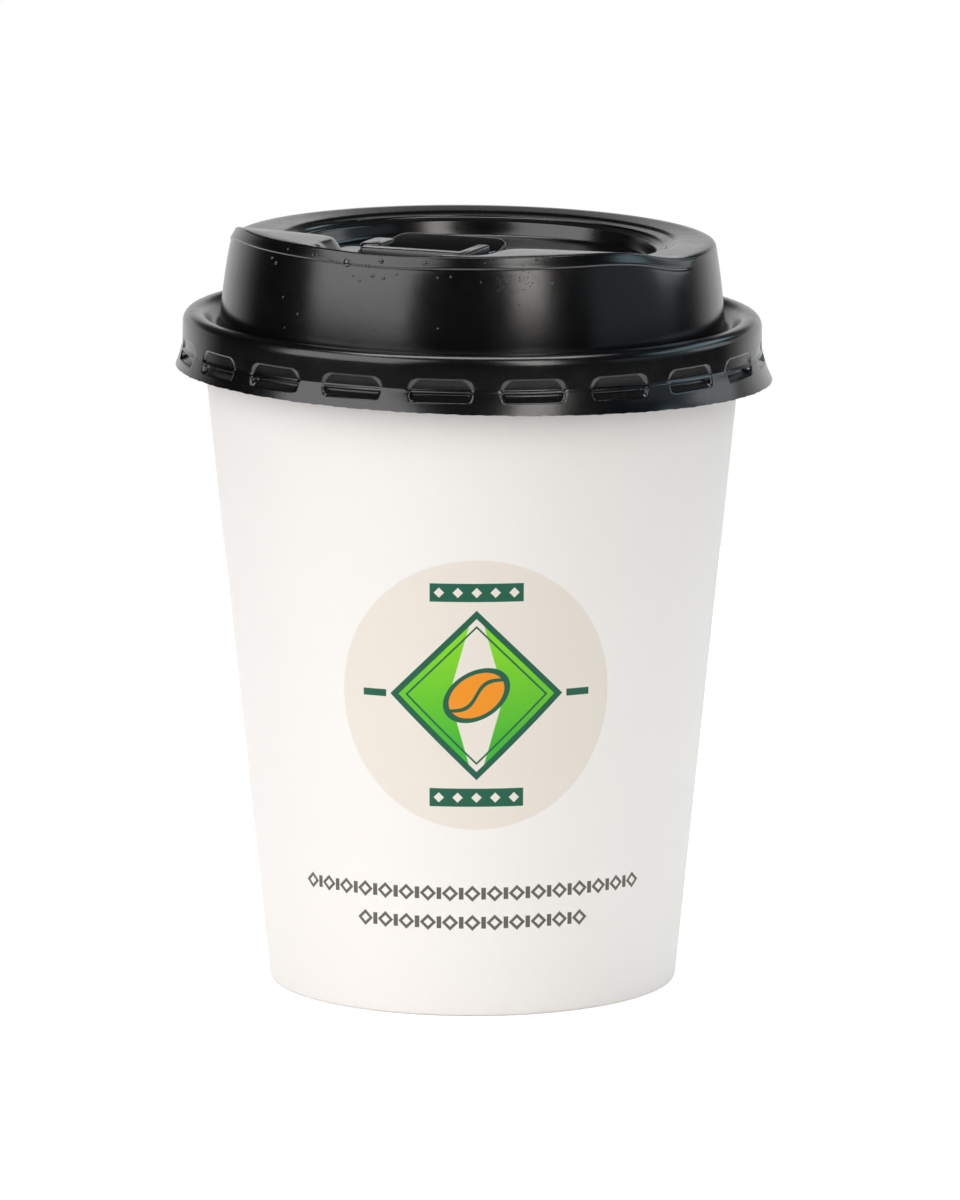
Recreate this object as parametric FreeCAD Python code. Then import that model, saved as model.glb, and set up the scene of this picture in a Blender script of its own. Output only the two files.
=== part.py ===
"""Paper cup for a hot drink with a snap-on sip lid, closed and full.

Frame: millimetres, +Z up, origin at the centre of the base ring on the table, printed side of the
cup towards -Y. The cup is one solid with its unseen contents; the lid is a thin formed shell that
sits a little askew on the cup's rolled rim. Inside the lid's own functions the sip side is -Y and
z = 0 is the underside of the channel that rests on the rim.
"""
import FreeCAD
import Part
import math
import os

V = FreeCAD.Vector
UP = V(0, 0, 1)
ORIGIN = V(0, 0, 0)

# Cup
cup_height = 93.5            # table to the top of the rolled rim
base_radius = 28.6           # outside of the wall at the table
neck_radius = 37.9           # outside of the wall where it meets the rolled rim
paper = 0.6                  # wall thickness above the contents
base_edge_fillet = 0.5       # turned edge that stands on the table
base_ring_width = 1.5        # folded ring under the base
base_recess = 7.0            # depth of the hollow under the base
recess_draft = 0.5           # the hollow is this much narrower at its top
recess_fillet = 0.6
rim_bead_radius = 1.1        # rolled rim, in section
rim_overhang = 0.9           # bead's centre outside the neck
headspace = 3.2              # rim top down to the contents
seam_width = 8.0             # overlap of the wrapped wall, at the back
seam_step = 0.25             # how far the overlap stands proud
seam_end_gap = 1.5           # seam stops this far from the base and from the rim

# Lid: fit on the rim
lid_wall = 0.5               # formed sheet
rim_clearance = 0.2          # between the rim's outside and the lid's channel
seat_gap = 0.05              # between the rim's top and the lid, on the low side
lid_tilt = 0.65              # degrees, lid stands higher on the -X side
sip_turn = -21.0             # degrees about Z, sip side from -Y

# Lid: shoulder, groove and skirt
shoulder_fillet = 1.4
shoulder_spare = 0.1         # shoulder's top beyond the rolled rim and the lid's own wall
groove_depth = 2.0           # below the shoulder's top
groove_width = 0.8
groove_fillet = 0.35
slope_fillet = 0.9           # shoulder's inner edge
neck_below_rim = 2.1         # underside of the rolled rim to the narrowest line of the skirt
neck_fillet = 0.6
neck_taper = 0.1             # skirt narrows by this much down to there
skirt_below_rim = 6.1        # underside of the rolled rim to the trimmed edge, at the middle
skirt_flare = 0.36           # growth of the radius for each millimetre down
skirt_allowance = 3.0        # length below the edge before it is trimmed
trim_skew = 0.9              # degrees, the edge is trimmed longer on the +X side

# Lid: dome
dome_inset = 5.3             # shoulder's outside to the foot of the dome
dome_gap = 0.2               # foot of the dome to the groove's inner corner
dome_draft = 0.14            # radius lost for each millimetre up
ring_height = 10.85          # flat top of the ring, at the back
lip_rise = 2.2               # sip side stands this much higher
ramp_length = 18.0           # from the ring's level to the lip's
ramp_inset = 14.3            # foot of the dome to the end of the ramp
rim_fillet = 0.7

# Lid: well in the middle
well_depth = 3.45            # below the ring
well_margin = 9.8            # foot of the dome to the well's lower wall
well_setback = 1.0           # its centre lies this far behind the dome's, away from the sip side
well_draft = 0.7
ledge_drop = 1.15            # step in the well's wall, below the ring
ledge_width = 1.4
well_corner = 5.0
well_lead = 0.6              # widening of the well's upper wall

# Lid: trough and raised tab
lip_thickness = 5.0          # foot of the dome to the trough's front wall
trough_length = 11.8         # front wall to the well
trough_half_width = 11.5     # at its floor
trough_lean = 1.1            # its sides spread by this much for each millimetre up
trough_above_ring = 0.45     # its floor
trough_overlap = 3.0         # runs into the well by this much
tab_gap = 2.8                # trough's front wall to the tab
tab_length = 15.1
tab_half_width = 9.2
tab_below_lip = 0.05
tab_corner = 2.0
window_front_bar = 1.7       # tab's front to the window
window_length = 7.2
window_half_width = 6.2
window_depth = 1.5
window_corner = 0.9

# Lid: snap lugs round the skirt
lug_count = 20
lug_phase = 15.0             # degrees from the sip side to the first lug
lug_length = 9.2             # mouth of the dimple, along the skirt
lug_height = 2.6             # mouth of the dimple, up the skirt
lug_below_rim = 2.3          # underside of the rolled rim to the dimple, past the lid's own wall
lug_depth = 0.95             # behind the neck line
lug_taper = 0.7              # inset of the dimple's floor on every side

# Values that follow from the ones above
rim_height = 2 * rim_bead_radius
rim_radius = neck_radius + rim_overhang + rim_bead_radius
channel_radius = rim_radius + rim_clearance
shoulder_radius = channel_radius + lid_wall
shoulder_top_width = rim_height + lid_wall + shoulder_spare
skirt_neck_radius = shoulder_radius - neck_taper
neck_drop = rim_height + neck_below_rim
skirt_drop = rim_height + skirt_below_rim
lug_centre_drop = rim_height + lid_wall + lug_below_rim
dome_foot_radius = shoulder_radius - dome_inset
lip_height = ring_height + lip_rise
ramp_end = dome_foot_radius - ramp_inset
ramp_start = ramp_end - ramp_length
well_floor = ring_height - well_depth
well_radius = dome_foot_radius - well_margin
ledge_height = ring_height - ledge_drop
trough_floor = ring_height + trough_above_ring
trough_front_radius = dome_foot_radius - lip_thickness
shelf_edge = trough_front_radius - trough_length
tab_front = trough_front_radius - tab_gap
tab_back = tab_front - tab_length
tab_height = lip_height - tab_below_lip
window_front = tab_front - window_front_bar
window_back = window_front - window_length
above = 6.0                  # cutting tools reach this far past what they cut


def corner_wire(points):
    """Closed wire through (r, z, fillet) points of the XZ plane, with its corners rounded."""
    edges = []
    ends = []
    count = len(points)
    for i, (r, z, fillet) in enumerate(points):
        here = V(r, 0, z)
        if fillet == 0:
            ends.append((here, here))
            continue
        before = V(points[i - 1][0], 0, points[i - 1][1]) - here
        after = V(points[(i + 1) % count][0], 0, points[(i + 1) % count][1]) - here
        before.normalize()
        after.normalize()
        half = before.getAngle(after) / 2
        reach = fillet / math.tan(half)
        middle = before + after
        middle.normalize()
        crest = here + middle * (fillet / math.sin(half) - fillet)
        ends.append((here + before * reach, here + after * reach))
        edges.append(Part.Arc(ends[-1][0], crest, ends[-1][1]).toShape())
    for i in range(count):
        start = ends[i][1]
        finish = ends[(i + 1) % count][0]
        if start.distanceToPoint(finish) > 1e-6:
            edges.append(Part.LineSegment(start, finish).toShape())
    return Part.Wire(Part.__sortEdges__(edges))


def turned(points):
    """Solid of revolution about Z of a profile given as (r, z, fillet) points."""
    return Part.Face(corner_wire(points)).revolve(ORIGIN, UP, 360)


def offset_line(points, distance):
    """The open line of (r, z, fillet) points moved sideways, to the right of its direction."""
    lines = []
    for (r0, z0, _), (r1, z1, _) in zip(points, points[1:]):
        length = math.hypot(r1 - r0, z1 - z0)
        along = ((r1 - r0) / length, (z1 - z0) / length)
        right = (along[1] * distance, -along[0] * distance)
        lines.append(((r0 + right[0], z0 + right[1]), along, (r1 + right[0], z1 + right[1])))
    moved = [(*lines[0][0], 0)]
    for (_, a, _), (_, b, _), point in zip(lines, lines[1:], points[1:]):
        index = len(moved)
        p = lines[index - 1][0]
        q = lines[index][0]
        cross = a[0] * b[1] - a[1] * b[0]
        t = ((q[0] - p[0]) * b[1] - (q[1] - p[1]) * b[0]) / cross
        fillet = point[2]
        if fillet:
            fillet = max(fillet + math.copysign(distance, cross), 0.1)
        moved.append((p[0] + a[0] * t, p[1] + a[1] * t, fillet))
    moved.append((*lines[-1][2], 0))
    return moved


def wall_radius(z):
    """Outside of the cup's wall at a height above the table."""
    return base_radius + (neck_radius - base_radius) * z / (cup_height - rim_bead_radius)


def cup_body():
    """Wall, folded base ring and contents, up to the level below the rim."""
    level = cup_height - headspace
    ring_inside = base_radius - base_ring_width
    neck = cup_height - rim_bead_radius
    return turned([
        (0, base_recess, 0),
        (ring_inside - recess_draft, base_recess, recess_fillet),
        (ring_inside, 0, base_edge_fillet),
        (base_radius, 0, base_edge_fillet),
        (neck_radius, neck, 0),
        (neck_radius - paper, neck, 0),
        (wall_radius(level) - paper, level, 0),
        (0, level, 0),
    ])


def rim_bead():
    return Part.makeTorus(
        neck_radius + rim_overhang, rim_bead_radius, V(0, 0, cup_height - rim_bead_radius), UP
    )


def cup_seam():
    """Strip where the wrapped wall overlaps itself, at the back."""
    low = seam_end_gap
    high = cup_height - 2 * rim_bead_radius - seam_end_gap
    band = turned([
        (wall_radius(low) - paper, low, 0),
        (wall_radius(low) + seam_step, low, 0),
        (wall_radius(high) + seam_step, high, 0),
        (wall_radius(high) - paper, high, 0),
    ])
    slot = Part.makeBox(seam_width, 2 * neck_radius, cup_height, V(-seam_width / 2, 0, 0))
    return band.common(slot)


def make_cup():
    return cup_body().fuse([rim_bead(), cup_seam()]).removeSplitter()


def lid_outline():
    """Outer face of the lid from the middle of its top to the foot of its skirt."""
    top = lid_wall
    groove = top - groove_depth
    groove_inner = dome_foot_radius + dome_gap
    foot = groove + groove_depth / 3
    slope_top = shoulder_radius - shoulder_top_width
    end = skirt_drop + skirt_allowance
    return [
        (0, lip_height, 0),
        (dome_foot_radius - dome_draft * (lip_height - foot), lip_height, 0),
        (dome_foot_radius, foot, 0),
        (groove_inner, groove, groove_fillet),
        (groove_inner + groove_width, groove, groove_fillet),
        (slope_top, top, slope_fillet),
        (shoulder_radius, top, shoulder_fillet),
        (skirt_neck_radius, top - neck_drop, neck_fillet),
        (skirt_neck_radius + skirt_flare * (end - neck_drop), top - end, 0),
    ]


def envelope(inset):
    """Everything under the lid's outer face, moved in by inset, as if the lid had no well."""
    line = offset_line(lid_outline(), inset) if inset else lid_outline()
    line[0] = (0, line[1][1], 0)
    foot = line[-1][1]
    foot_radius = line[-1][0]
    return turned(line[:-1] + [(foot_radius, foot, 0), (0, foot, 0)])


def ramp_cutter(inset):
    """What lies above the ring: low at the back, rising to the sip side in two tangent arcs."""
    low = ring_height - inset
    high = lip_height - inset
    reach = 2 * dome_foot_radius
    length = ramp_end - ramp_start
    arc_radius = (length ** 2 + lip_rise ** 2) / (4 * lip_rise)
    turn = math.asin(length / 2 / arc_radius) / 2

    def at(forward, z):
        return V(-reach, -forward, z)

    bend_run = arc_radius * math.sin(turn)
    bend_rise = arc_radius * (1 - math.cos(turn))
    half_run = length / 2
    half = at(ramp_start + half_run, (low + high) / 2)
    edges = [
        Part.LineSegment(at(-reach, low), at(ramp_start, low)).toShape(),
        Part.Arc(at(ramp_start, low), at(ramp_start + bend_run, low + bend_rise), half).toShape(),
        Part.Arc(half, at(ramp_end - bend_run, high - bend_rise), at(ramp_end, high)).toShape(),
        Part.LineSegment(at(ramp_end, high), at(reach, high)).toShape(),
        Part.LineSegment(at(reach, high), at(reach, high + above)).toShape(),
        Part.LineSegment(at(reach, high + above), at(-reach, high + above)).toShape(),
        Part.LineSegment(at(-reach, high + above), at(-reach, low)).toShape(),
    ]
    return Part.Face(Part.Wire(edges)).extrude(V(2 * reach, 0, 0))


def well_wire(radius, edge, corner, z):
    """Circle with one straight side at y = -edge, its two corners rounded."""
    across = math.sqrt((radius - corner) ** 2 - (edge - corner) ** 2)
    centre_y = corner - edge
    out = radius / (radius - corner)
    on_circle = V(across * out, centre_y * out, z)
    mirrored = V(-on_circle.x, on_circle.y, z)
    flat_end = V(across, -edge, z)
    flat_start = V(-across, -edge, z)
    aim = V(across * out, centre_y * out - radius, 0) + V(across, -edge - radius, 0)
    lean = V(on_circle.x - across, on_circle.y - centre_y, 0) + V(0, -edge - centre_y, 0)
    lean.normalize()
    right_mid = V(across, centre_y, z) + lean * corner
    left_mid = V(-right_mid.x, right_mid.y, z)
    return Part.Wire([
        Part.Arc(on_circle, V(0, radius, z), mirrored).toShape(),
        Part.Arc(mirrored, left_mid, flat_start).toShape(),
        Part.LineSegment(flat_start, flat_end).toShape(),
        Part.Arc(flat_end, right_mid, on_circle).toShape(),
    ])


def tapered(bottom, top):
    return Part.makeLoft([bottom, top], True, True)


def well_cutters(inset):
    """Lower and upper part of the well, with the ledge between them."""
    ledge_radius = well_radius + ledge_width
    edge = shelf_edge + well_setback
    lower = tapered(
        well_wire(well_radius - well_draft + inset, edge - ledge_width - well_draft + inset,
                  well_corner, well_floor - inset),
        well_wire(well_radius + inset, edge - ledge_width + inset, well_corner, ledge_height),
    )
    upper = tapered(
        well_wire(ledge_radius + inset, edge - well_lead + inset, well_corner,
                  ledge_height - inset),
        well_wire(ledge_radius + 2 * well_lead + inset, edge + inset, well_corner,
                  lip_height + above),
    )
    for cutter in (lower, upper):
        cutter.translate(V(0, well_setback, 0))
    return [lower, upper]


def rounded_block(half_width, back, front, low, high, corner):
    """Upright block between y = -back and y = -front with rounded upright edges."""
    block = Part.makeBox(2 * half_width, front - back, high - low, V(-half_width, -front, low))
    upright = [e for e in block.Edges if abs(e.tangentAt(e.FirstParameter).z) > 0.99]
    return block.makeFillet(corner, upright)


def trough_cutter(inset):
    """Space behind the drinking lip, open to the well, its two sides leaning outwards."""
    low = trough_floor - inset
    high = lip_height + above
    half_low = trough_half_width + inset
    half_high = half_low + trough_lean * (high - low)
    back = trough_overlap - shelf_edge
    front = -trough_front_radius - inset
    side = Part.makePolygon([
        V(-half_low, front, low),
        V(half_low, front, low),
        V(half_high, front, high),
        V(-half_high, front, high),
        V(-half_low, front, low),
    ])
    trough = Part.Face(side).extrude(V(0, back - front, 0))
    return trough.common(Part.makeCylinder(-front, 2 * lip_height, ORIGIN, UP))


def tab_block(inset):
    return rounded_block(
        tab_half_width - inset, tab_back + inset, tab_front - inset,
        well_floor - inset - lid_wall, tab_height - inset, tab_corner - inset,
    )


def window_cutter(inset):
    return rounded_block(
        window_half_width + inset, window_back - inset, window_front + inset,
        tab_height - window_depth - inset, tab_height + above, window_corner + inset,
    )


def is_rim_edge(edge):
    """Edges where the top of the ring meets the outside of the dome."""
    point = edge.valueAt((edge.FirstParameter + edge.LastParameter) / 2)
    radius = math.hypot(point.x, point.y)
    foot = lid_wall - groove_depth * 2 / 3
    on_wall = abs(radius - dome_foot_radius + dome_draft * (point.z - foot)) < 0.05
    return on_wall and point.z > ring_height - 0.1


def lid_form(inset):
    """The lid's solid form, with every face moved in by inset."""
    form = envelope(inset).cut(ramp_cutter(inset))
    if inset == 0:
        form = form.makeFillet(rim_fillet, [e for e in form.Edges if is_rim_edge(e)])
    for cutter in well_cutters(inset) + [trough_cutter(inset)]:
        form = form.cut(cutter)
    return form.fuse(tab_block(inset)).cut(window_cutter(inset))


def stadium(length, height, y, z):
    """Upright slot shape facing -Y, its ends half circles."""
    half = height / 2
    run = (length - height) / 2
    top = [V(-run, y, z + half), V(run, y, z + half)]
    bottom = [V(run, y, z - half), V(-run, y, z - half)]
    return Part.Wire([
        Part.LineSegment(top[0], top[1]).toShape(),
        Part.Arc(top[1], V(run + half, y, z), bottom[0]).toShape(),
        Part.LineSegment(bottom[0], bottom[1]).toShape(),
        Part.Arc(bottom[1], V(-run - half, y, z), top[0]).toShape(),
    ])


def dimple(inset):
    """Tapered slot pressed into the skirt; inset grows it for the outside of its wall."""
    z = lid_wall - lug_centre_drop
    floor = skirt_neck_radius - lug_depth - inset
    mouth = skirt_neck_radius + above
    per_depth = lug_taper / lug_depth
    spread = 2 * per_depth * (mouth - floor)
    length = lug_length - 2 * lug_taper + 2 * inset
    height = lug_height - 2 * lug_taper + 2 * inset
    return tapered(
        stadium(length, height, -floor, z),
        stadium(length + spread, height + spread, -mouth, z),
    )


def round_the_skirt(shape):
    """Copies of a shape at every lug's place."""
    copies = []
    for i in range(lug_count):
        copy = shape.copy()
        copy.rotate(ORIGIN, UP, lug_phase + i * 360 / lug_count)
        copies.append(copy)
    return copies


def trim_cutter():
    """What is cut away below the skirt's edge."""
    size = 4 * shoulder_radius
    block = Part.makeBox(size, size, size, V(-size / 2, -size / 2, -size))
    block.rotate(ORIGIN, V(0, 1, 0), trim_skew)
    block.translate(V(0, 0, lid_wall - skirt_drop))
    return block


def make_lid():
    outside = lid_form(0)
    skirt_band = turned([
        (channel_radius - 2, lid_wall - neck_drop - lug_height, 0),
        (shoulder_radius + 2, lid_wall - neck_drop - lug_height, 0),
        (shoulder_radius + 2, lid_wall - neck_drop + lug_height, 0),
        (channel_radius - 2, lid_wall - neck_drop + lug_height, 0),
    ])
    shell = outside.cut(lid_form(lid_wall))
    lugs = [lug.common(outside).common(skirt_band) for lug in round_the_skirt(dimple(lid_wall))]
    lid = shell.fuse(lugs).cut(round_the_skirt(dimple(0)))
    lid.rotate(ORIGIN, UP, sip_turn)
    lid = lid.cut(trim_cutter())
    lid.rotate(ORIGIN, V(0, 1, 0), lid_tilt)
    low_side = (neck_radius + rim_overhang) * math.sin(math.radians(lid_tilt))
    lid.translate(V(0, 0, cup_height + seat_gap + low_side))
    return lid.removeSplitter()


def main():
    os.makedirs("parts", exist_ok=True)
    for name, shape in (("cup", make_cup()), ("lid", make_lid())):
        box = shape.BoundBox
        print(
            f"{name}: {len(shape.Solids)} solid, valid {shape.isValid()}, "
            f"volume {shape.Volume:.1f} mm3, X {box.XMin:.2f}..{box.XMax:.2f}, "
            f"Y {box.YMin:.2f}..{box.YMax:.2f}, Z {box.ZMin:.2f}..{box.ZMax:.2f}"
        )
        shape.exportStep(f"parts/{name}.step")


main()
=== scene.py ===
import math
import random

import bpy
import numpy as np
from mathutils import Matrix, Vector


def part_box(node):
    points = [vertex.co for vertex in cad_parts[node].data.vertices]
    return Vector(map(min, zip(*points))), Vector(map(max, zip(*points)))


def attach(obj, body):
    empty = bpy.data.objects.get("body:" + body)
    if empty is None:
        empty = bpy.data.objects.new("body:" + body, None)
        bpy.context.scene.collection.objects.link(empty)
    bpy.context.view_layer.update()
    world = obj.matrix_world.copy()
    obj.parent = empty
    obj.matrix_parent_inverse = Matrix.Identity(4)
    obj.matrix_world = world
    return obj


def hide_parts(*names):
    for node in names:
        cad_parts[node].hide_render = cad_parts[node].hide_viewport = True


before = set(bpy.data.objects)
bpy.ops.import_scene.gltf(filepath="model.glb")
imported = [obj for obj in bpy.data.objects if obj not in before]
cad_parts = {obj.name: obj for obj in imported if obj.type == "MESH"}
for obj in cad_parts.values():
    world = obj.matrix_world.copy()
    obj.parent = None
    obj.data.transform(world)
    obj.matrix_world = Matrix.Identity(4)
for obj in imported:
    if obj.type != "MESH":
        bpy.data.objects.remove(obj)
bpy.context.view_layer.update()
mm = 0.001
weldGap = 0.0005         # millimetres
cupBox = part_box("cup")
print("model loaded")


# mesh helpers

def deselectAll():
    for obj in list(bpy.context.selected_objects):
        obj.select_set(False)


def startPiece(name):
    deselectAll()
    bpy.ops.mesh.primitive_plane_add(size=mm)
    piece = bpy.context.object
    piece.name = name
    piece.data.name = name
    return piece


def editMode():
    bpy.ops.object.mode_set(mode="EDIT")


def objectMode():
    bpy.ops.object.mode_set(mode="OBJECT")


def spinProfile(name, profile, steps):
    # draws the profile as a chain of points in the XZ plane and spins it about Z
    piece = startPiece(name)
    editMode()
    bpy.ops.mesh.select_mode(type="VERT")
    bpy.ops.mesh.select_all(action="SELECT")
    bpy.ops.mesh.merge(type="CENTER")
    last = Vector((profile[0][0], 0, profile[0][1])) * mm
    bpy.ops.transform.translate(value=last)
    for r, z in profile[1:]:
        here = Vector((r, 0, z)) * mm
        bpy.ops.mesh.extrude_vertices_move(TRANSFORM_OT_translate={"value": here - last})
        last = here
    bpy.ops.mesh.select_all(action="SELECT")
    bpy.ops.mesh.spin(steps=steps, angle=2 * math.pi, center=(0, 0, 0), axis=(0, 0, 1))
    bpy.ops.mesh.select_all(action="SELECT")
    bpy.ops.mesh.remove_doubles(threshold=weldGap * mm)
    bpy.ops.mesh.normals_make_consistent(inside=False)
    objectMode()
    return piece


def readPoints(piece):
    points = np.empty(len(piece.data.vertices) * 3)
    piece.data.vertices.foreach_get("co", points)
    return points.reshape(-1, 3) / mm


def writePoints(piece, points):
    piece.data.vertices.foreach_set("co", (points * mm).ravel())
    piece.data.update()


def smooth(piece, degrees):
    deselectAll()
    piece.select_set(True)
    bpy.context.view_layer.objects.active = piece
    bpy.ops.object.shade_smooth_by_angle(angle=math.radians(degrees))


def ease(x):
    x = np.clip(x, 0, 1)
    return x * x * (3 - 2 * x)


# shader helpers

class Sock:
    def __init__(self, graph, socket):
        self.graph = graph
        self.socket = socket

    def maths(self, operation, *others, clamp=False):
        values = (self,) + others
        settings = {"operation": operation, "use_clamp": clamp}
        return self.graph.node("ShaderNodeMath", settings, dict(enumerate(values)))

    def __add__(self, other):
        return self.maths("ADD", other)

    def __sub__(self, other):
        return self.maths("SUBTRACT", other)

    def __neg__(self):
        return self.maths("MULTIPLY", -1)

    def __rsub__(self, other):
        return -self + other

    def __mul__(self, other):
        return self.maths("MULTIPLY", other)

    def __truediv__(self, other):
        return self.maths("DIVIDE", other)

    def __abs__(self):
        return self.maths("ABSOLUTE")

    __radd__ = __add__
    __rmul__ = __mul__

    def least(self, other):
        return self.maths("MINIMUM", other)

    def most(self, other):
        return self.maths("MAXIMUM", other)

    def inside(self, edge=0.05):
        # 1 where the distance is below nought, with a soft edge in millimetres
        return self.maths("MULTIPLY_ADD", -1 / edge, 0.5, clamp=True)


class Graph:
    def __init__(self, tree):
        self.tree = tree

    def node(self, kind, settings=None, inputs=None, output=0):
        made = self.tree.nodes.new(kind)
        for key, value in (settings or {}).items():
            setattr(made, key, value)
        for key, value in (inputs or {}).items():
            if isinstance(value, Sock):
                self.tree.links.new(value.socket, made.inputs[key])
            else:
                made.inputs[key].default_value = value
        return Sock(self, made.outputs[output])

    def ray(self, kind):
        return self.node("ShaderNodeLightPath", output=f"Is {kind} Ray")

    def split(self, vector):
        parts = self.node("ShaderNodeSeparateXYZ", None, {0: vector}).socket.node
        return [Sock(self, output) for output in parts.outputs]

    def mix(self, factor, low, high):
        settings = {"data_type": "RGBA"}
        return self.node("ShaderNodeMix", settings, {0: factor, 6: low, 7: high}, output=2)

    def noise(self, vector, scale, detail=3.0, rough=0.5):
        inputs = {"Vector": vector, "Scale": scale, "Detail": detail, "Roughness": rough}
        return self.node("ShaderNodeTexNoise", None, inputs)

    def bump(self, height, strength, distance):
        inputs = {"Height": height, "Strength": strength, "Distance": distance * mm}
        return self.node("ShaderNodeBump", None, inputs)


class Look(Graph):
    def __init__(self, name):
        self.material = bpy.data.materials.new(name)
        self.material.use_nodes = True
        super().__init__(self.material.node_tree)
        self.shader = self.tree.nodes["Principled BSDF"]

    def place(self):
        # object coordinates in millimetres
        inputs = {0: self.node("ShaderNodeTexCoord", output="Object"), "Scale": 1 / mm}
        return self.node("ShaderNodeVectorMath", {"operation": "SCALE"}, inputs)

    def set(self, **values):
        names = {
            "color": "Base Color", "rough": "Roughness", "normal": "Normal", "ior": "IOR",
            "glow": "Emission Color", "glowPower": "Emission Strength",
        }
        for key, value in values.items():
            socket = self.shader.inputs[names[key]]
            if isinstance(value, Sock):
                self.tree.links.new(value.socket, socket)
            else:
                socket.default_value = value
        return self.material


# camera

cameraSet = {
    "place": (0.00105, -1.416, 0.3106),
    "pitch": 79.71,          # degrees from straight down
    "lens": 307.4,
    "sensor": 36.0,
    "clipEnd": 50,
}


def makeCamera():
    data = bpy.data.cameras.new("camera")
    data.lens = cameraSet["lens"]
    data.sensor_width = cameraSet["sensor"]
    data.clip_end = cameraSet["clipEnd"]
    camera = bpy.data.objects.new("camera", data)
    camera.location = cameraSet["place"]
    camera.rotation_euler = (math.radians(cameraSet["pitch"]), 0, 0)
    bpy.context.scene.collection.objects.link(camera)
    bpy.context.scene.camera = camera


makeCamera()
print("camera placed")


# lid: where it sits on the rim, then its own sizes in millimetres with the sip side at -Y

lidSet = {
    "sipTurn": -21.0,        # degrees about Z
    "tilt": 0.65,            # degrees about Y
    "seatGap": 0.05,
    "rimSeat": 38.8,         # radius where the lid rests on the rim
    "columns": 720,
    "sampleColumn": 300,     # clear of the trough's corners
    "batch": 4000,           # points sorted onto their rings at a time
    "foot": -0.83,
    "footRadius": 35.3,
    "draft": 0.14,
    "bow": 0.25,
    "wallShares": (0.2, 0.4, 0.6, 0.8, 0.94),
    "wallLow": -0.4,
    "sheet": 0.45,
    "smooth": 60,
}
topSet = {
    "ring": 10.85,           # height of the low ring at the rear
    "lip": 13.05,            # and of the raised lip at the sip side
    "rampStart": 3.0,
    "rampEnd": 21.0,
    "dish": 0.075,           # slope of the ring's top towards the well
    "crestOut": 0.1,
    "crestIn": 0.75,
    "dip": 0.22,             # the lip dips in the middle of the sip side
    "dipWidth": 8,
    "fall": 0.75,            # and its top falls away steeply beside the tab
    "fallWidth": 1.2,
    "fallSpan": (-13.5, 8),
    "fallFade": 3,
    "shares": (0.2, 0.5, 0.8),
    "beadTurn": (1.5, 0.16), # half turn of the beaded part of the lip, and its fade
    # depth below the crest, and how far out of the wall the plain edge and the beaded edge stand
    "edge": [
        (0, -0.75, -0.6), (0.05, -0.5, -0.42), (0.12, -0.3, -0.34), (0.22, -0.15, -0.31),
        (0.34, -0.06, -0.29), (0.46, -0.02, -0.25), (0.58, 0, -0.21), (0.72, 0, -0.165),
        (0.88, 0, -0.11), (1.06, 0, -0.045), (1.24, 0, 0.02), (1.4, 0, 0.06), (1.5, 0, 0.05),
        (1.6, 0, -0.05), (1.72, 0, -0.09), (1.95, 0, -0.06), (2.35, 0, -0.03),
    ],
}
wellSet = {
    "radius": 27.5,
    "setback": 1.0,
    "shelf": 18.6,
    "shelfRound": 6.0,
    "troughHalf": 12.8,
    "troughFront": 31.5,
    "troughBack": 10,
    "troughRound": 3.0,
    "mouthRound": 5.0,
    "troughTurn": (0.82, 0.25),   # half turn of the trough's sloped end, and its fade
    "search": (4.0, 33.5),
    "halvings": 40,
    "floor": 7.4,
    "floorInset": 3.6,
    "floorShares": (0, 0.3, 0.6, 0.82, 0.94),
    # offset inside the outline and height, from the floor up to the ledge
    "lowWall": [
        (3.6, 7.4), (3.1, 7.43), (2.8, 7.6), (2.66, 7.9), (2.5, 8.6), (2.36, 9.25), (2.28, 9.5),
        (2.15, 9.64), (1.95, 9.7), (1.5, 9.71), (1.12, 9.73), (0.94, 9.8), (0.86, 9.98),
    ],
    "wallFoot": 9.98,
    "rimRound": 0.3,
    # share of the height and offset, then offset and drop
    "upperWall": [(0.3, 0.78), (0.6, 0.7), (0.85, 0.62), (1.0, 0.52)],
    "rim": [(0.42, 0.2), (0.27, 0.1), (0.05, 0.03), (-0.25, 0.0)],
}
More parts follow.
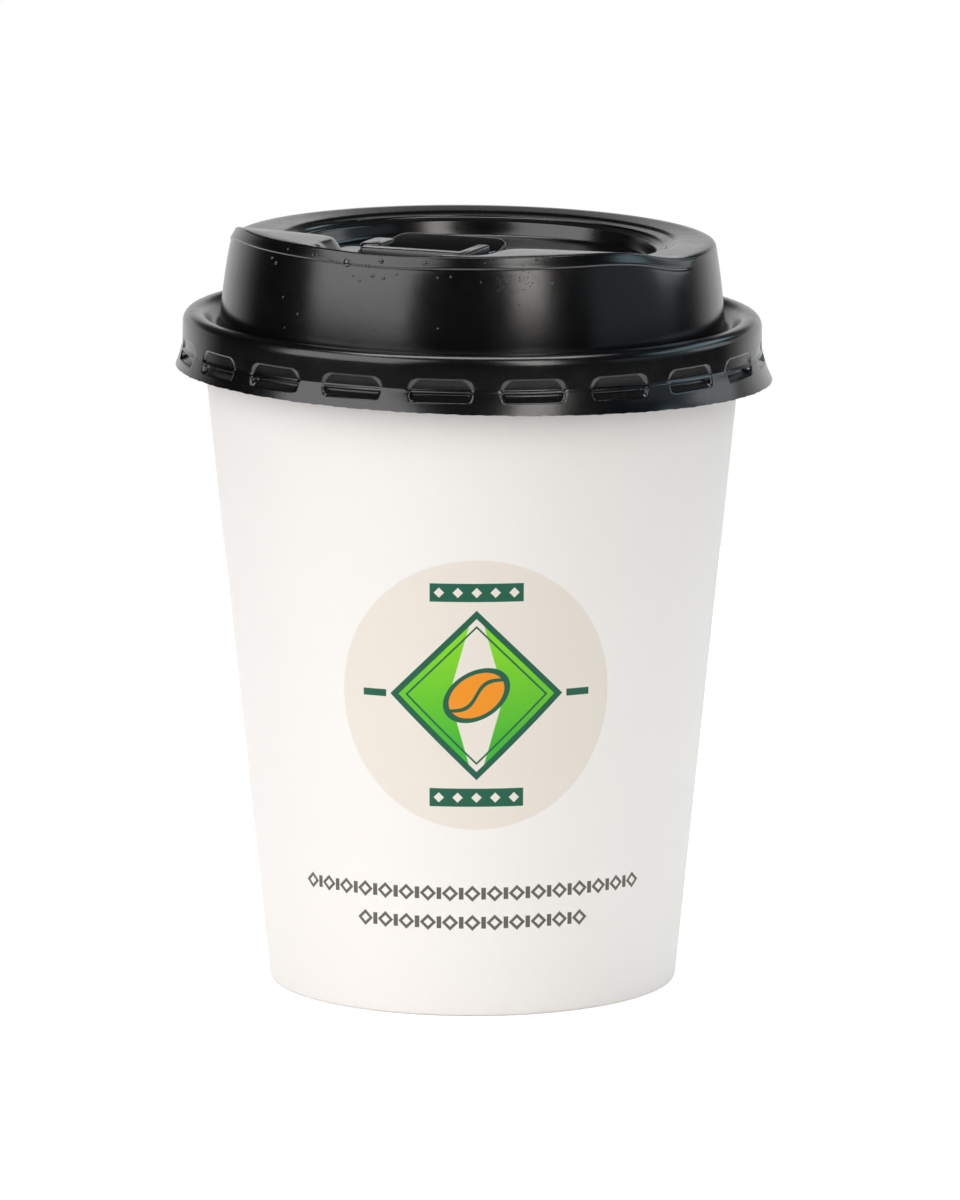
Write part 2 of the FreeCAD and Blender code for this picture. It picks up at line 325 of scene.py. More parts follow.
# the ring's rear is rounded into the well, and these say how far
rearSet = {
    "start": 0.1,
    "gain": 1.2,
    "ledge": 0.2,
    "ledgeFrom": 1.55,
    "ledgeTo": 2.2,
    "dish": 0.25,
    "foot": 0.14,
    "wall": 1.1,
    "rim": 1.25,
    "rimTop": 1.4,
}
skirtSet = {
    "neckZ": -4.5,
    "neckRadius": 40.5,
    "lean": 0.01,
    "ridge": (0.12, 0.24),   # how far out and how high
    "flare": (0.2, 0.04),
    "edge": -7.8,            # trimmed edge at the middle
    "edgeRadius": 42,
    "trimSkew": 0.9,         # degrees
    "frontLift": 0.4,
    "ragged": [(0.02, 31, 0), (0.022, 83, 1), (0.024, 147, 0)],     # height, waves round, phase
    "shares": (0.3, 0.6, 0.85, 1.0),
    "turnedEdge": [(0.12, 0.04), (0.33, 0)],
    "shoulder": [
        (35.27, -0.62), (35.32, -0.95), (35.42, -1.25), (35.62, -1.44), (35.9, -1.5),
        (36.15, -1.47), (36.38, -1.33), (36.62, -1.05), (36.95, -0.6), (37.3, -0.13),
        (37.6, 0.16), (37.95, 0.36), (38.35, 0.47), (38.75, 0.5), (39.1, 0.495),
        (39.53, 0.416), (39.8, 0.29), (39.99, 0.13), (40.2, -0.1), (40.36, -0.42),
        (40.43, -0.7), (40.45, -0.95), (40.47, -1.7),
    ],
    "channel": [
        (40.1, -2.5), (40.1, -1.1), (40.0, -0.6), (39.7, -0.2), (39.2, -0.02), (38.6, 0.0),
        (38.0, -0.12), (37.4, -0.75), (36.9, -1.5), (36.4, -1.95), (35.6, -2.0), (35.0, -1.7),
        (34.8, -1.0), (34.4, 1.5), (33.9, 5.0), (33.4, 6.4), (32.4, 6.85), (20.0, 6.9), (0.0, 6.9),
    ],
}
lugSet = {
    "count": 20,
    "phase": 15.0,
    "straight": 2.85,
    "round": 1.62,
    "centre": -4.32,
    "lowerSquash": 0.62,     # squares the lower corners
    "tapers": (0.16, 0.55),  # above and below the centre
    "gather": ((0, 0.25, 0.78, 1), (0, 0.45, 0.715, 1)),
    # height and how deep the lug is pressed there: a shallow upper half, a ledge, a hollow under it
    "press": [
        (-5.92, 0.0), (-5.91, 0.04), (-5.86, 0.26), (-5.85, 0.28), (-5.3, 0.84), (-5.1, 0.92),
        (-4.9, 0.86), (-4.78, 0.6), (-4.68, 0.2), (-4.6, 0.02), (-4.56, 0.0), (-4.52, 0.02),
        (-4.22, 0.2), (-4.18, 0.21), (-3.8, 0.2), (-2.9, 0.15), (-2.5, 0.15),
    ],
    "rows": (
        -2.62, -2.68, -2.71, -2.78, -2.86, -2.9, -2.97, -3.12, -3.3, -3.55, -3.9, -4.14,
        -4.18, -4.22, -4.52, -4.56, -4.6, -4.68, -4.78, -4.9, -5.1, -5.3, -5.58, -5.85,
        -5.86, -5.91, -5.92, -6.15,
    ),
    "innerStep": 3,          # the inside follows every third row
}


def placeOnCup(points):
    tilt = math.radians(lidSet["tilt"])
    lift = cupBox[1][2] / mm + lidSet["seatGap"] + lidSet["rimSeat"] * math.sin(tilt)
    turn = Matrix.Rotation(math.radians(lidSet["sipTurn"]), 3, "Z")
    matrix = np.array(Matrix.Rotation(tilt, 3, "Y") @ turn)
    return points @ matrix.T + np.array((0, 0, lift))


def topHeight(along):
    start, end = topSet["rampStart"], topSet["rampEnd"]
    t = np.clip((along - start) / (end - start), 0, 1)
    s = np.where(t < 0.5, 2 * t * t, 1 - 2 * (1 - t) ** 2)
    return topSet["ring"] + (topSet["lip"] - topSet["ring"]) * s


def softMost(a, b, k):
    h = np.clip(0.5 + 0.5 * (a - b) / k, 0, 1)
    return b + (a - b) * h + k * h * (1 - h)


def wellDistance(radius, turn):
    # distance outside the outline of the well and its trough
    across = radius * np.sin(turn)
    along = radius * np.cos(turn)
    disc = np.hypot(across, along + wellSet["setback"]) - wellSet["radius"]
    well = softMost(disc, along - wellSet["shelf"], wellSet["shelfRound"])
    sides = np.abs(across) - wellSet["troughHalf"]
    trough = softMost(sides, radius - wellSet["troughFront"], wellSet["troughRound"])
    trough = np.maximum(trough, wellSet["troughBack"] - along)
    return -softMost(-well, -trough, wellSet["mouthRound"])


def wellEdge(turn, offset):
    # radius at which the wall stands this far inside the outline
    low, high = (np.full_like(turn, limit) for limit in wellSet["search"])
    for _ in range(wellSet["halvings"]):
        middle = (low + high) / 2
        out = wellDistance(middle, turn) > -offset
        high = np.where(out, middle, high)
        low = np.where(out, low, middle)
    return (low + high) / 2


def wallRadius(z):
    # drafted, and very slightly bowed out halfway up
    rise = z - lidSet["foot"]
    share = np.clip(rise / (topSet["lip"] - lidSet["foot"]), 0, 1)
    return lidSet["footRadius"] - lidSet["draft"] * rise + 4 * lidSet["bow"] * share * (1 - share)


def skirtRadius(z):
    neck = skirtSet["neckZ"]
    down = np.maximum(neck - z, 0)
    upper = skirtSet["neckRadius"] - skirtSet["lean"] * np.maximum(z - neck, 0)
    out, high = skirtSet["ridge"]
    ridge = out * np.clip((neck + high / 2 - z) / high, 0, 1)
    slope, curve = skirtSet["flare"]
    return upper + ridge + slope * down + curve * down ** 2


def lugSide(turn):
    # turn from the middle of the nearest lug
    half = math.pi / lugSet["count"]
    return np.mod(turn - math.radians(lugSet["phase"]) + half, 2 * half) - half


def lugPress(turn, z):
    # how far the skirt is pressed inwards by the nearest lug
    across = np.abs(lugSide(turn)) * skirtSet["neckRadius"]
    up = z - lugSet["centre"]
    up = np.where(up < 0, up * lugSet["lowerSquash"], up)
    distance = np.hypot(np.maximum(across - lugSet["straight"], 0), up) - lugSet["round"]
    heights, depths = zip(*lugSet["press"])
    taper = np.where(z > lugSet["centre"], *lugSet["tapers"])
    return np.interp(z, heights, depths) * ease(-distance / taper)


def trimEdge(turn):
    worldTurn = turn + math.radians(lidSet["sipTurn"])
    skew = math.tan(math.radians(skirtSet["trimSkew"]))
    ragged = sum(high * np.sin(waves * turn + phase) for high, waves, phase in skirtSet["ragged"])
    lift = skirtSet["frontLift"] * np.maximum(np.cos(worldTurn), 0)
    return skirtSet["edge"] - skirtSet["edgeRadius"] * skew * np.sin(worldTurn) + lift + ragged


def crestLine(turn):
    # across the sip side, the crest's height, and how much of it is the dip
    crest = wallRadius(topSet["lip"]) + topSet["crestOut"]
    across = crest * np.sin(turn)
    dip = topSet["dip"] * np.exp(-(across / topSet["dipWidth"]) ** 2) * (np.cos(turn) > 0)
    return across, topHeight(crest * np.cos(turn)) - dip, dip


def wellRings(turn, trough, rear):
    floorEdge = wellEdge(turn, wellSet["floorInset"] + trough)
    rings = [(floorEdge * share, wellSet["floor"]) for share in wellSet["floorShares"]]
    for offset, height in wellSet["lowWall"]:
        onLedge = offset < rearSet["ledgeTo"]
        slope = rearSet["ledge"] * rear * (rearSet["ledgeFrom"] - offset) * onLedge
        rings.append((wellEdge(turn, offset + trough), height + slope))
    return rings


def topRings(turn, trough, rear):
    across, crestHeight, dip = crestLine(turn)
    topOut = wallRadius(crestHeight) - topSet["crestIn"]
    left, right = topSet["fallSpan"]
    fade = topSet["fallFade"]
    byTab = ease((across - left) / fade) * ease((right - across) / fade) * (np.cos(turn) > 0)

    def topAt(radius):
        # the top falls away gently from the crest to the well, and steeply beside the tab
        gentle = topSet["dish"] * (rearSet["dish"] + rear) * (topOut - radius)
        steep = topSet["fall"] * byTab * np.clip((topOut - radius) / topSet["fallWidth"], 0, 1)
        return topHeight(radius * np.cos(turn)) - dip * byTab - gentle - steep

    rings = []
    rimTop = topAt(wellEdge(turn, -rearSet["rimTop"] * rear))
    foot = wellSet["wallFoot"] + rearSet["foot"] * rear
    for share, offset in wellSet["upperWall"]:
        lean = trough * (1 - share) - rearSet["wall"] * rear * share
        height = foot + (rimTop - wellSet["rimRound"] - foot) * share
        rings.append((wellEdge(turn, offset + lean), height))
    for offset, drop in wellSet["rim"]:
        topIn = wellEdge(turn, offset - rearSet["rim"] * rear)
        rings.append((topIn, rimTop - drop))
    for share in topSet["shares"]:
        radius = topIn + (topOut - topIn) * share
        rings.append((radius, topAt(radius)))
    return rings


def wallRings(turn):
    _, crestHeight, _ = crestLine(turn)
    beadHalf, beadFade = topSet["beadTurn"]
    bead = ease((beadHalf - np.abs(turn)) / beadFade)
    rings = []
    for drop, plain, beaded in topSet["edge"]:
        height = crestHeight - drop
        rings.append((wallRadius(height) + plain + (beaded - plain) * bead, height))
    for share in lidSet["wallShares"]:
        level = height + (lidSet["wallLow"] - height) * share
        rings.append((wallRadius(level), level))
    return rings


def skirtRings(turn):
    rings = [(skirtRadius(height) - lugPress(turn, height), height) for height in lugSet["rows"]]
    edge = trimEdge(turn)
    last = lugSet["rows"][-1]
    for share in skirtSet["shares"]:
        height = last + (edge - last) * share
        rings.append((skirtRadius(height), height))
    for inset, drop in skirtSet["turnedEdge"]:
        rings.append((skirtRadius(edge) - inset, edge - drop))
    for height in lugSet["rows"][::-lugSet["innerStep"]]:
        rings.append((skirtRadius(height) - lidSet["sheet"] - lugPress(turn, height), height))
    return rings


def lidRings(turn):
    # every ring of the lid's surface as radius and height round the lid, from the middle of its
    # top, out over the lip and down the skirt, then back along the inside
    troughHalf, troughFade = wellSet["troughTurn"]
    trough = ease((troughHalf - np.abs(turn)) / troughFade)
    rear = ease(rearSet["start"] - rearSet["gain"] * np.cos(turn))
    rings = wellRings(turn, trough, rear) + topRings(turn, trough, rear) + wallRings(turn)
    rings += skirtSet["shoulder"] + skirtRings(turn) + skirtSet["channel"]
    flat = np.zeros_like(turn)
    return [(flat + radius, flat + height) for radius, height in rings]


def makeLid():
    columns = lidSet["columns"]
    turn = np.arange(columns) * 2 * math.pi / columns - math.pi
    # columns gather at the ends of the lugs
    half = math.pi / lugSet["count"]
    side = lugSide(turn)
    turn = turn - side + np.sign(side) * np.interp(np.abs(side) / half, *lugSet["gather"]) * half
    rings = lidRings(turn)
    sample = lidSet["sampleColumn"]
    profile = [(float(r[sample]), float(z[sample])) for r, z in rings]
    piece = spinProfile("lidShell", profile, columns)
    points = readPoints(piece)
    radius = np.hypot(points[:, 0], points[:, 1])
    ringOf = np.empty(len(points), int)
    marks = np.array(profile)
    for start in range(0, len(points), lidSet["batch"]):
        part = slice(start, start + lidSet["batch"])
        gap = np.hypot(radius[part, None] - marks[:, 0], points[part, 2, None] - marks[:, 1])
        ringOf[part] = gap.argmin(1)
    # spin starts on +X; the column is the turn from the sip side
    around = np.arctan2(points[:, 0], -points[:, 1])
    column = np.rint((around + math.pi) / (2 * math.pi) * columns).astype(int) % columns
    r = np.array([r for r, _ in rings])[ringOf, column]
    z = np.array([z for _, z in rings])[ringOf, column]
    angle = turn[column]
    writePoints(piece, placeOnCup(np.stack([r * np.sin(angle), -r * np.cos(angle), z], 1)))
    smooth(piece, lidSet["smooth"])
    return piece


lidShell = makeLid()
print("lid shell", len(lidShell.data.vertices))


# tray and tab: blocks that stand in the lid's well

tabSet = {
    # name: (left and right, back and front from the middle, bottom and top), corner, edge
    "blocks": {
        "lidTray": (((-12.6, 12.6), (16.5, 30.4), (8.0, 11.3)), 2.0, 0.5),
        "tabPlate": (((-6.2, 10.4), (12.6, 18.6), (8.2, 12.5)), 2.4, 0.4),
        "tabWing": (((-8.8, -5.4), (15.0, 21.6), (8.6, 12.5)), 1.2, 0.4),
        "tabRailRight": (((7.3, 9.2), (17.2, 26.6), (10.4, 12.8)), 0.6, 0.35),
        "tabRailLeft": (((-7.0, -5.4), (20.0, 26.6), (10.4, 12.3)), 0.6, 0.35),
        "tabBar": (((-6.2, 8.6), (25.5, 27.7), (10.4, 12.9)), 0.6, 0.35),
    },
    "cornerSteps": 6,
    "edgeSteps": 3,
    "upright": 0.1,          # an edge that rises more than this is a corner
    "topWithin": 0.001,
    "lean": 0.24,            # the plate leans down to the front
    "leanAbout": 15.5,
    "leanAbove": 10,
    "smooth": 40,
}


def bevelEdges(piece, wanted, width, segments):
    editMode()
    bpy.ops.mesh.select_mode(type="EDGE")
    bpy.ops.mesh.select_all(action="DESELECT")
    objectMode()
    points = piece.data.vertices
    for edge in piece.data.edges:
        edge.select = wanted(points[edge.vertices[0]].co, points[edge.vertices[1]].co)
    editMode()
    bpy.ops.mesh.bevel(offset=width * mm, segments=segments, profile=0.5, clamp_overlap=True)
    objectMode()


def makeBlock(name, size, corner, edge):
    (left, right), (back, front), (low, high) = size
    deselectAll()
    middle = Vector(((left + right) / 2, -(back + front) / 2, (low + high) / 2)) * mm
    bpy.ops.mesh.primitive_cube_add(size=1, location=middle)
    piece = bpy.context.object
    piece.name = name
    piece.data.name = name
    piece.scale = Vector((right - left, front - back, high - low)) * mm
    bpy.ops.object.transform_apply(location=True, rotation=False, scale=True)
    rise = tabSet["upright"] * mm
    bevelEdges(piece, lambda a, b: abs(a.z - b.z) > rise, corner, tabSet["cornerSteps"])
    top = (high - tabSet["topWithin"]) * mm
    bevelEdges(piece, lambda a, b: a.z > top and b.z > top, edge, tabSet["edgeSteps"])
    points = readPoints(piece)
    if name == "tabPlate":
        above = points[:, 2] > tabSet["leanAbove"]
        points[:, 2] += tabSet["lean"] * (points[:, 1] + tabSet["leanAbout"]) * above
    writePoints(piece, placeOnCup(points))
    smooth(piece, tabSet["smooth"])
    return piece


tabPieces = [makeBlock(name, *settings) for name, settings in tabSet["blocks"].items()]
print("tray and tab")


# cup: paper wall with a rolled rim, a folded base ring and the drink's surface inside

cupSet = {
    "baseRadius": 28.6,
    "widening": 9.3 / 92.4,
    "recess": 7.0,
    "recessLine": [(0, 0), (12, 0), (22, 0), (25.9, 0), (26.3, 0.08), (26.52, 0.3), (26.62, 0.7)],
    "baseRing": [
        (26.85, 3.5), (27.05, 0.8), (27.12, 0.4), (27.28, 0.12), (27.55, 0.0), (28.15, 0.0),
        (28.42, 0.08), (28.57, 0.25), (28.63, 0.5), (28.7, 1.0),
    ],
    "wallRows": (1.5, 1.8, 4, 7, 12, 20, 28, 36, 44, 52, 60, 68, 76, 84, 89.4, 89.8, 90.6),
    "rimCentre": (38.8, 92.4),
    "rimRadius": 1.1,
    "rimTurns": (215, 526, 20),
    "underRim": [(37.4, 91.9), (37.22, 91.0)],
    "drink": 90.3,
    "drinkLine": [(37.12, 0.25), (36.95, 0.06), (36.5, 0), (30, 0), (15, 0), (0, 0)],
    "steps": 360,
    "seamWidth": 8.0,
    "seamStep": 0.25,
    "seamSlopes": (0.35, 3.0),
    "seamSpan": (1.6, 89.6),
    "wallWithin": 0.05,      # points this near the wall's radius belong to it
    "tiny": 1e-6,            # keeps the axis from dividing by nought
    "smooth": 35,
}


def cupWall(z):
    return cupSet["baseRadius"] + cupSet["widening"] * z


def makeCup():
    profile = [(r, cupSet["recess"] - drop) for r, drop in cupSet["recessLine"]]
    profile += cupSet["baseRing"] + [(cupWall(z), z) for z in cupSet["wallRows"]]
    centre, high = cupSet["rimCentre"]
    bead = cupSet["rimRadius"]
    for degrees in range(*cupSet["rimTurns"]):
        turn = math.radians(degrees)
        profile.append((centre + bead * math.cos(turn), high + bead * math.sin(turn)))
    profile += cupSet["underRim"] + [(r, cupSet["drink"] + rise) for r, rise in cupSet["drinkLine"]]
    piece = spinProfile("paperCup", profile, cupSet["steps"])
    points = readPoints(piece)
    x, y, z = points.T
    radius = np.hypot(x, y)
    arc = np.arctan2(x, y) * radius
    half = cupSet["seamWidth"] / 2
    cut, lap = cupSet["seamSlopes"]
    share = np.clip((half + arc) / cut, 0, 1) * np.clip((half - arc) / lap, 0, 1)
    low, high = cupSet["seamSpan"]
    onWall = (radius > cupWall(z) - cupSet["wallWithin"]) & (z > low) & (z < high)
    raised = (radius + onWall * share * cupSet["seamStep"]) / np.maximum(radius, cupSet["tiny"])
    points[:, :2] *= raised[:, None]
    writePoints(piece, points)
    smooth(piece, cupSet["smooth"])
    return piece


paperCup = makeCup()
print("paper cup", len(paperCup.data.vertices))


# drops of water on the lid's dome

dropSet = {
    # turn from the sip side in degrees, height and diameter
    "spots": [
        (-9.9, 11.47, 1.3), (-14.1, 11.55, 0.8), (-12.5, 11.49, 0.5), (-4.3, 11.29, 0.7),
        (-1.1, 12.07, 0.8), (9.7, 12.07, 0.7), (-6.1, 9.19, 0.5), (-2.9, 9.99, 0.7),
        (-0.1, 9.81, 0.6), (-7.9, 9.79, 0.4), (-32.1, 10.07, 0.6), (-33.9, 10.63, 0.5),
        (-28.5, 12.23, 0.35), (-27.9, 5.69, 0.4), (-22.6, 3.71, 0.5), (-26.4, 1.55, 0.4),
        (-1.5, 2.85, 0.5), (13.2, 3.33, 0.4), (39.5, 9.47, 0.5), (31.5, 6.67, 0.4),
        (36.1, 12.81, 0.3), (3.0, 10.43, 0.4), (12.8, 10.21, 0.4), (15.8, 10.39, 0.4),
        (22.8, 9.73, 0.3), (23.7, 12.29, 0.3), (-18.7, 11.99, 0.5), (-16.9, 11.95, 0.4),
        (-15.4, 11.75, 0.4), (-20.0, 12.05, 0.5),
    ],
    "seed": 7,
    "fineCount": 70,
    "fineTurns": (26, 36),
    "fineHeights": (8.5, 12.0),
    "fineWidths": (0.12, 0.26),
    "segments": 12,
    "rings": 8,
    "shrink": 0.85,
    "high": 1.05,
    "thick": 0.55,
    "smooth": 80,
}


def makeDrops():
    chance = random.Random(dropSet["seed"])
    spots = list(dropSet["spots"])
    fine = (dropSet["fineTurns"], dropSet["fineHeights"], dropSet["fineWidths"])
    for _ in range(dropSet["fineCount"]):
        spots.append(tuple(chance.uniform(low, high) for low, high in fine))
    deselectAll()
    bpy.ops.mesh.primitive_uv_sphere_add(
        segments=dropSet["segments"], ring_count=dropSet["rings"], radius=0.5 * mm
    )
    first = bpy.context.object
    ball = readPoints(first)
    copies = [first] + [first.copy() for _ in spots[1:]]
    for copy in copies[1:]:
        copy.data = first.data.copy()
        bpy.context.scene.collection.objects.link(copy)
    for copy, (degrees, z, width) in zip(copies, spots):
        turn = math.radians(degrees)
        out = np.array((math.sin(turn), -math.cos(turn), lidSet["draft"]))
        side = np.array((math.cos(turn), math.sin(turn), 0))
        up = np.cross(out, side)
        foot = wallRadius(z)
        centre = np.array((math.sin(turn) * foot, -math.cos(turn) * foot, z))
        shape = ball * (width * dropSet["shrink"])
        drop = shape[:, :1] * side + shape[:, 2:] * up * dropSet["high"]
        drop = drop + shape[:, 1:2] * out * dropSet["thick"]
        writePoints(copy, placeOnCup(centre + drop))
    deselectAll()
    for copy in copies:
        copy.select_set(True)
    bpy.context.view_layer.objects.active = first
    bpy.ops.object.join()
    first.name = "waterDrops"
    first.data.name = "waterDrops"
    editMode()
    bpy.ops.mesh.select_all(action="SELECT")
    bpy.ops.mesh.normals_make_consistent(inside=False)
    objectMode()
    smooth(first, dropSet["smooth"])
    return first


waterDrops = makeDrops()
print("water drops")


# finishes

lidFinish = {
    "color": (0.0016, 0.0018, 0.0022, 1),
    "ior": 1.7,
    "rough": 0.21,
    "mottleRough": 0.10,
    "fineRough": 0.06,
    "mottle": (0.35, 4.0, 0.6),      # noise scale, detail and roughness
    "fine": (3.2, 5.0, 0.65),
    "grainShares": (2.0, 0.6),
    "grain": (0.35, 0.014),          # bump strength, and its height in millimetres
}
dropFinish = {
    "color": (0.013, 0.013, 0.014, 1),
    "ior": 1.9,
    "rough": 0.08,
    "waveScale": 1.2,
    "wave": (0.1, 0.02),
}
paperFinish = {
    "paper": (0.945, 0.915, 0.885, 1),
    "fibre": (0.915, 0.883, 0.85, 1),
    "drink": (0.42, 0.24, 0.12, 1),
    "disc": (0.85, 0.785, 0.705, 1),
    "green": (0.0, 0.102, 0.053, 1),
    "orange": (0.91, 0.305, 0.006, 1),
    "lime": (0.22, 0.68, 0.003, 1),
    "leafGreen": (0.045, 0.456, 0.021, 1),
    "ink": (0.115, 0.107, 0.092, 1),
    "ior": 1.45,
    "rough": 0.52,
    "wetRough": 0.35,
    "fibreRough": 0.12,
    "fibres": (1.6, 6.0, 0.6),
    "clouds": (0.09, 3.0, 0.5),
    "fibreShare": 0.6,
    "cloudShare": 0.4,
    "cloudHeight": 1.5,
    "grain": (0.25, 0.05),
    "printDepth": 0.35,              # the print colours only this much of the wall's outside
    "softEdge": 0.1,
    "drinkRadius": 37.15,
    "drinkSpan": (-0.3, 0.12),
}
printSet = {
    "turn": 1.0,             # degrees from the front
    "height": 46.2,
    "discRadius": 19.2,
    "discEdge": 0.08,
    "slant": 0.707,          # turns a diamond's sum of sides into a distance
    "diamond": 11.5,
    "line": 0.42,            # half width of the diamond's outline
    "thinLine": (1.25, 0.13),
    "corner": (3.4, 0.9, 0.25),
    "shade": (0.07, 0.5),    # slope and middle of the corners' shading
    "beanTilt": 32,
    "bean": (4.6, 3.1, 3.4), # half length, half width, and the scale of its distance
    "beanLine": 0.32,
    "crease": (0.75, 0.28),
    "bars": (14.4, 1.7, 0.5),
    "bands": (14.6, 6.5, 1.3),
    "studs": (1.3, 0.72),
    "rows": ((17.8, 26.0), (13.6, 16.7)),     # height and half length
    "rowPitch": 1.55,
    "lozenge": (0.95, 0.05, 0.2),
    "dash": (0.32, 0.85),
    "rowEdge": 0.06,
}


def makeLidLook():
    look = Look("glossyLidPlastic")
    place = look.place()
    mottle = look.noise(place, *lidFinish["mottle"]) - 0.5
    fine = look.noise(place, *lidFinish["fine"]) - 0.5
    rough = lidFinish["rough"] + mottle * lidFinish["mottleRough"] + fine * lidFinish["fineRough"]
    mottleShare, fineShare = lidFinish["grainShares"]
    bump = look.bump(fine * fineShare + mottle * mottleShare, *lidFinish["grain"])
    return look.set(color=lidFinish["color"], rough=rough, normal=bump, ior=lidFinish["ior"])


def makeDropLook():
    look = Look("lidWater")
    waves = look.noise(look.place(), dropFinish["waveScale"])
    bump = look.bump(waves, *dropFinish["wave"])
    return look.set(
        color=dropFinish["color"], rough=dropFinish["rough"], normal=bump, ior=dropFinish["ior"]
    )


def diamondShape(a, b, half):
    return (abs(a) + abs(b) - half) * printSet["slant"]


def boxShape(a, b, halfWide, halfHigh):
    return (abs(a) - halfWide).most(abs(b) - halfHigh)


def printEmblem(look, a, b, color, outside):
    # a diamond with green corners and an orange bean, a bar at each side, a studded band over
    # it and another under it
    diamond = diamondShape(a, b, printSet["diamond"])
    reach, acrossShare, upShare = printSet["corner"]
    corner = diamond.most(reach - abs(a) * acrossShare - abs(b) * upShare).inside()
    slope, middle = printSet["shade"]
    shade = (b * slope + middle).maths("MAXIMUM", 0, clamp=True)
    field = look.mix(shade, paperFinish["leafGreen"], paperFinish["lime"])
    color = look.mix(corner * outside, color, field)

    tilt = math.radians(printSet["beanTilt"])
    beanA = a * math.cos(tilt) + b * math.sin(tilt)
    beanB = b * math.cos(tilt) - a * math.sin(tilt)
    halfLong, halfWide, scale = printSet["bean"]
    u, v = beanA / halfLong, beanB / halfWide
    bean = ((u * u + v * v).maths("SQRT") - 1) * scale
    color = look.mix(bean.inside() * outside, color, paperFinish["orange"])

    thinAt, thinHalf = printSet["thinLine"]
    wave, creaseHalf = printSet["crease"]
    crease = abs(beanB - (beanA * wave).maths("SINE") * wave) - creaseHalf
    barAt, barHalf, barHigh = printSet["bars"]
    bandAt, bandHalf, bandHigh = printSet["bands"]
    studPitch, studHalf = printSet["studs"]
    level = abs(b) - bandAt
    studs = diamondShape(a.maths("WRAP", studPitch, -studPitch), level, studHalf)
    dark = [
        abs(diamond) - printSet["line"],
        abs(diamond + thinAt) - thinHalf,
        abs(bean) - printSet["beanLine"],
        crease.most(bean),
        boxShape(abs(a) - barAt, b, barHalf, barHigh),
        boxShape(a, level, bandHalf, bandHigh).most(-studs),
    ]
    shown = dark[0].inside()
    for shape in dark[1:]:
        shown = shown.most(shape.inside())
    return look.mix(shown * outside, color, paperFinish["green"])


def printRows(look, along, z, color, outside):
    # two rows of lozenges and dashes
    pitch = printSet["rowPitch"]
    half, shrink, line = printSet["lozenge"]
    cell = along.maths("WRAP", pitch, -pitch)
    rows = []
    for height, length in printSet["rows"]:
        level = z - height
        lozenge = abs(diamondShape(cell, level, half) + shrink) - line
        dash = boxShape(abs(cell) - pitch, level, *printSet["dash"])
        rows.append(lozenge.least(dash).most(abs(along) - length))
    shown = rows[0].least(rows[1]).inside(printSet["rowEdge"])
    return look.mix(shown * outside, color, paperFinish["ink"])


def makePaperLook():
    look = Look("printedPaper")
    place = look.place()
    x, y, z = look.split(place)
    turn = x.maths("ARCTAN2", -y)
    radius = z * cupSet["widening"] + cupSet["baseRadius"]
    fromAxis = (x * x + y * y).maths("SQRT")
    soft = paperFinish["softEdge"]
    outside = (radius - paperFinish["printDepth"] - fromAxis).inside(soft)
    a = (turn - math.radians(printSet["turn"])) * radius
    b = z - printSet["height"]

    fibres = look.noise(place, *paperFinish["fibres"])
    clouds = look.noise(place, *paperFinish["clouds"])
    pale = fibres * paperFinish["fibreShare"] + clouds * paperFinish["cloudShare"]
    paper = look.mix(pale, paperFinish["fibre"], paperFinish["paper"])
    disc = ((a * a + b * b).maths("SQRT") - printSet["discRadius"]).inside(printSet["discEdge"])
    color = look.mix(disc * outside, paper, paperFinish["disc"])
    color = printEmblem(look, a, b, color, outside)
    color = printRows(look, turn * radius, z, color, outside)

    low, high = (cupSet["drink"] + span for span in paperFinish["drinkSpan"])
    wet = (z - high).inside(soft) * (low - z).inside(soft)
    wet = wet * (fromAxis - paperFinish["drinkRadius"]).inside(soft)
    color = look.mix(wet, color, paperFinish["drink"])
    uneven = (fibres - 0.5) * paperFinish["fibreRough"]
    rough = paperFinish["rough"] + uneven - wet * paperFinish["wetRough"]
    bump = look.bump(fibres + clouds * paperFinish["cloudHeight"], *paperFinish["grain"])
    return look.set(color=color, rough=rough, normal=bump, ior=paperFinish["ior"])


def dress(piece, material):
    piece.data.materials.clear()
    piece.data.materials.append(material)
    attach(piece, "root")


lidLook = makeLidLook()
paperLook = makePaperLook()
for piece in [lidShell] + tabPieces:
    dress(piece, lidLook)
dress(waterDrops, makeDropLook())
dress(paperCup, paperLook)
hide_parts("lid")
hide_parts("cup")
for name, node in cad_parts.items():
    node.data.materials.clear()
    node.data.materials.append(lidLook if name == "lid" else paperLook)
print("finishes")


# floor, world and lamps

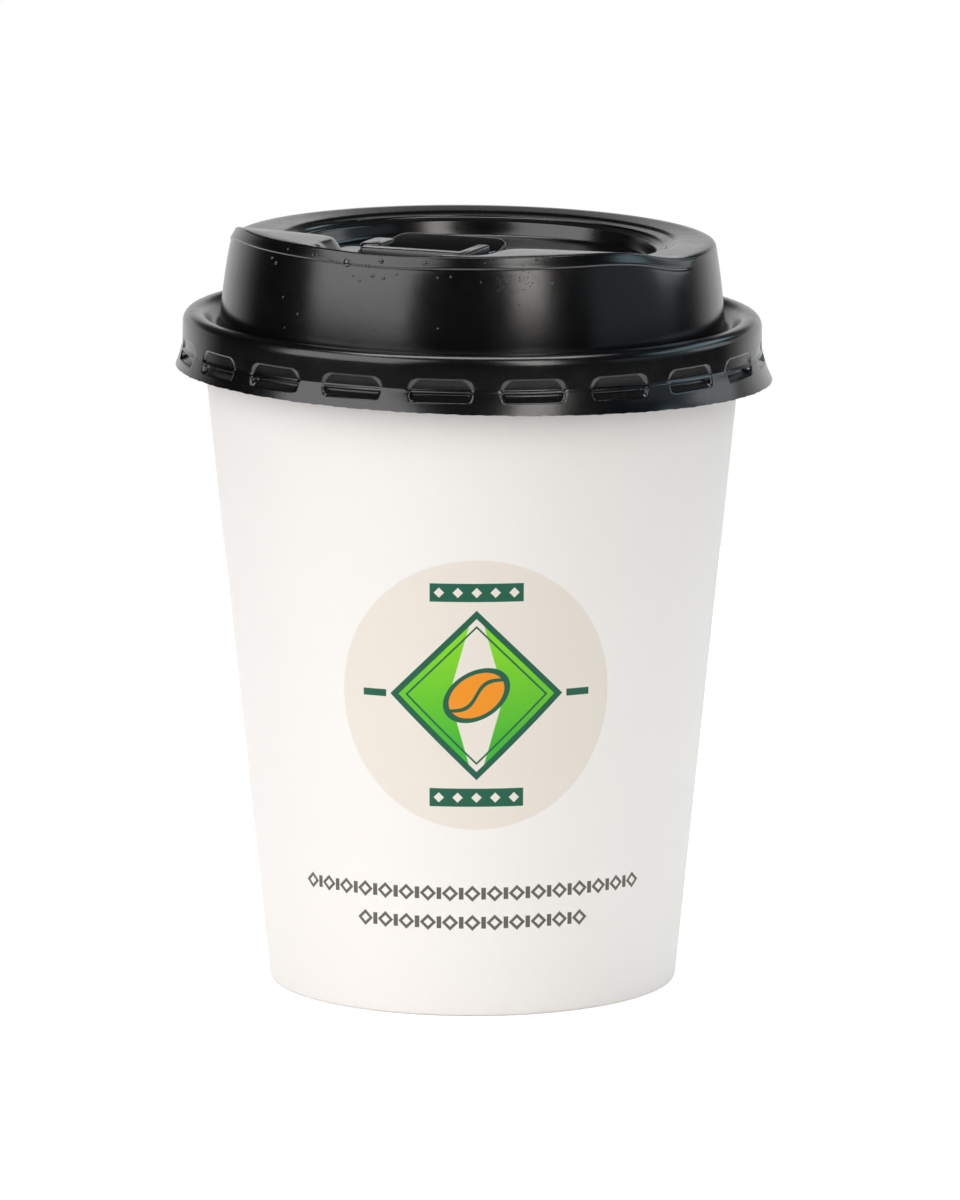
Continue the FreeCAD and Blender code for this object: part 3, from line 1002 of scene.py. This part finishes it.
floorSet = {
    "radius": 0.35,
    "steps": 128,
    "shades": ((0.80, 0.80, 0.80, 1), (0.83, 0.83, 0.83, 1)),
    "glow": (0.5, 0.5, 0.5, 1),
    "rough": 0.7,
    "patches": 0.01,
}
worldSet = {
    "fill": 0.24,
    # what mirrors see is bright behind the cup (direction Y) and near the floor (direction Z),
    # and dark elsewhere
    "behind": {"From Min": 0.45, "From Max": 0.9, "To Min": 0.012, "To Max": 0.9},
    "low": {"From Min": 0.19, "From Max": 0.33, "To Min": 1.0, "To Max": 0.045},
}
lampSet = {
    "aim": (0, 0, 0.06),
    "lamps": {
        # name: turn from the front, degrees up, distance, width, height, power, colour
        "leftBox": (-54, 29, 1.3, 1.28, 1.2, 10.5, (1.0, 0.99, 1.0)),
        "tallBox": (26.5, 29, 1.2, 0.31, 0.95, 3.7, (1.0, 0.97, 0.93)),
        "coolBox": (114, 35, 1.3, 1.25, 0.3, 1.9, (0.6, 0.87, 1.0)),
        "sideBox": (82, 11, 1.35, 1.3, 0.55, 0.6, (0.78, 0.93, 1.0)),
        "rightBox": (110, 14, 1.3, 0.6, 0.4, 0.9, (0.93, 0.98, 1.0)),
        "topBox": (0, 88, 1.2, 1.2, 0.42, 7.0, (1.0, 1.0, 1.0)),
        "backBox": (180, 40, 1.3, 1.0, 0.7, 5.0, (1.0, 1.0, 1.0)),
    },
    "unmirrored": ("backBox",),
}


def makeFloor():
    deselectAll()
    bpy.ops.mesh.primitive_circle_add(
        vertices=floorSet["steps"], radius=floorSet["radius"], fill_type="NGON"
    )
    floor = bpy.context.object
    floor.name = "studioFloor"
    look = Look("paleFloor")
    patches = look.noise(look.place(), floorSet["patches"])
    color = look.mix(patches, *floorSet["shades"])
    seen = (look.ray("Camera") + look.ray("Glossy") + look.ray("Transmission")).least(1)
    glow = look.mix(seen, (0, 0, 0, 1), floorSet["glow"])
    floor.data.materials.append(
        look.set(color=color, rough=floorSet["rough"], glow=glow, glowPower=1)
    )


def makeWorld():
    world = bpy.data.worlds.new("studio")
    bpy.context.scene.world = world
    world.use_nodes = True
    graph = Graph(world.node_tree)
    graph.tree.nodes.clear()
    _, y, z = graph.split(graph.node("ShaderNodeTexCoord", output="Generated"))

    def ramp(value, limits):
        smooth = {"interpolation_type": "SMOOTHSTEP"}
        return graph.node("ShaderNodeMapRange", smooth, {"Value": value, **limits})

    def background(strength):
        white = (1, 1, 1, 1)
        return graph.node("ShaderNodeBackground", None, {"Color": white, "Strength": strength})

    shown = background(worldSet["fill"])
    mirrored = background(ramp(y, worldSet["behind"]) * ramp(z, worldSet["low"]))
    seen = background(1)
    for kind, other in (("Glossy", mirrored), ("Transmission", seen), ("Camera", seen)):
        shown = graph.node("ShaderNodeMixShader", None, {0: graph.ray(kind), 1: shown, 2: other})
    out = graph.tree.nodes.new("ShaderNodeOutputWorld")
    graph.tree.links.new(shown.socket, out.inputs["Surface"])


def makeLamps():
    middle = Vector(lampSet["aim"])
    for name, (turn, up, far, wide, high, power, color) in lampSet["lamps"].items():
        data = bpy.data.lights.new(name, "AREA")
        data.shape = "RECTANGLE"
        data.size = wide
        data.size_y = high
        data.energy = power
        data.color = color
        lamp = bpy.data.objects.new(name, data)
        level = math.cos(math.radians(up))
        across = math.sin(math.radians(turn)) * level
        front = -math.cos(math.radians(turn)) * level
        lamp.location = middle + Vector((across, front, math.sin(math.radians(up)))) * far
        lamp.rotation_euler = (middle - lamp.location).to_track_quat("-Z", "Y").to_euler()
        lamp.visible_camera = False
        lamp.visible_glossy = name not in lampSet["unmirrored"]
        bpy.context.scene.collection.objects.link(lamp)


makeFloor()
makeWorld()
makeLamps()
bpy.context.scene.view_settings.view_transform = "Standard"
print("studio")
